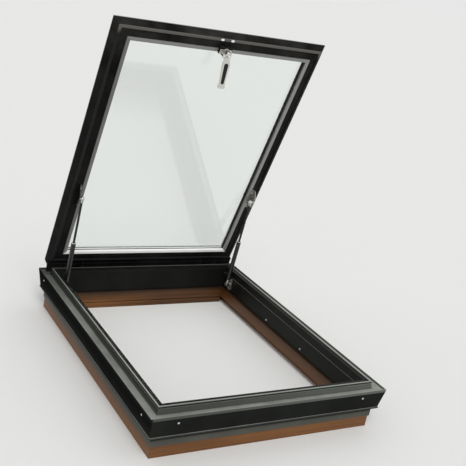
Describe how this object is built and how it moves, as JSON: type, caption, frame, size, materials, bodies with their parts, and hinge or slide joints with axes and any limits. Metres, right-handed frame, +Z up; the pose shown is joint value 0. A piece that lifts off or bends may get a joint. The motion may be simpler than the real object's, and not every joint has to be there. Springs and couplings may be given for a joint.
{
  "type": "roof window",
  "caption": "Top-hinged roof window: mitred dark metal frame on a pine curb, glazed sash propped open by telescopic struts, with a turning lever handle.",
  "frame": {"origin": "centre of the frame's plan at the underside of its timber members", "axes": "+Z up and square to the frame, +Y towards the hinge side, +X to the right seen from the handle side"},
  "size_m": [0.78, 0.9814, 1.0554],
  "materials": {
    "frame_cladding": "satin",
    "collar": "satin",
    "inner_wall": "matte",
    "timber": "satin",
    "sash_profile": "satin",
    "glazing_bead": "satin",
    "glass": "polished",
    "spacer": "satin",
    "rubber_seal": "matte",
    "bright_fixings": "polished",
    "handle_metal": "satin",
    "hardware": "satin",
    "strut_tube": "satin",
    "strut_rod": "polished"
  },
  "bodies": {
    "frame": {"timber_sill": "timber", "timber_head": "timber", "timber_jamb_left": "timber", "timber_jamb_right": "timber", "cladding_front": "frame_cladding", "cladding_rear": "frame_cladding", "cladding_left": "frame_cladding", "cladding_right": "frame_cladding", "collar_front": "collar", "collar_rear": "collar", "collar_left": "collar", "collar_right": "collar", "inner_wall_front": "inner_wall", "inner_wall_rear": "inner_wall", "inner_wall_left": "inner_wall", "inner_wall_right": "inner_wall", "head_lining_board": "timber", "keeper": "hardware", "apron_screws": "bright_fixings", "frame_screws": "bright_fixings", "hinge_cover": "frame_cladding", "hinge_foot_left": "hardware", "hinge_foot_right": "hardware", "hinge_pin_left": "hardware", "hinge_pin_right": "hardware", "strut_anchor_left": "hardware", "strut_anchor_right": "hardware"},
    "sash": {"sash_rail_front": "sash_profile", "sash_rail_rear": "sash_profile", "sash_stile_left": "sash_profile", "sash_stile_right": "sash_profile", "glazing_bead_front": "glazing_bead", "glazing_bead_rear": "glazing_bead", "glazing_bead_left": "glazing_bead", "glazing_bead_right": "glazing_bead", "pane_inner": "glass", "pane_outer": "glass", "spacer_bar": "spacer", "glazing_gasket_inner": "rubber_seal", "glazing_gasket_outer": "rubber_seal", "sash_seal": "rubber_seal", "handle_case": "hardware", "hinge_leaf_screws": "bright_fixings", "bracket_screws": "bright_fixings", "lip_studs": "bright_fixings", "hinge_leaf_left": "hardware", "hinge_leaf_right": "hardware", "strut_bracket_left": "hardware", "strut_bracket_right": "hardware"},
    "handle": {"handle_spindle": "handle_metal", "handle_lever": "handle_metal"},
    "strut_tube_left": {"strut_tube_left": "strut_tube", "strut_eye_left": "handle_metal"},
    "strut_rod_left": {"strut_rod_left": "strut_rod", "strut_socket_left": "handle_metal"},
    "strut_tube_right": {"strut_tube_right": "strut_tube", "strut_eye_right": "handle_metal"},
    "strut_rod_right": {"strut_rod_right": "strut_rod", "strut_socket_right": "handle_metal"}
  },
  "joints": [
    {"name": "sash_hinge", "type": "hinge", "parent": "frame", "child": "sash", "pos_m": [0, 0.476, 0.157], "axis": [1, 0, 0], "range_deg": [0, 70]},
    {"name": "handle_turn", "type": "hinge", "parent": "sash", "child": "handle", "pos_m": [0, 0.14349, 0.99161], "axis": [0, -0.9397, -0.342], "range_deg": [0, 90]},
    {"name": "strut_swing_left", "type": "hinge", "parent": "frame", "child": "strut_tube_left", "pos_m": [-0.324, 0.3926, 0.093], "axis": [1, 0, 0], "range_deg": [-0.5, 73.5]},
    {"name": "strut_slide_left", "type": "slide", "parent": "strut_tube_left", "child": "strut_rod_left", "axis": [0, 0.1403, -0.9901], "range_m": [-0.001, 0.1207]},
    {"name": "strut_swing_right", "type": "hinge", "parent": "frame", "child": "strut_tube_right", "pos_m": [0.324, 0.3926, 0.093], "axis": [1, 0, 0], "range_deg": [-0.5, 73.5]},
    {"name": "strut_slide_right", "type": "slide", "parent": "strut_tube_right", "child": "strut_rod_right", "axis": [0, 0.1403, -0.9901], "range_m": [-0.001, 0.1207]}
  ],
  "couplings": [
    {"joint": "strut_swing_left", "follows": "sash_hinge", "ratio": 1.0408},
    {"joint": "strut_slide_left", "follows": "sash_hinge", "m_per_rad": 0.098005},
    {"joint": "strut_swing_right", "follows": "sash_hinge", "ratio": 1.0408},
    {"joint": "strut_slide_right", "follows": "sash_hinge", "m_per_rad": 0.098005}
  ]
}
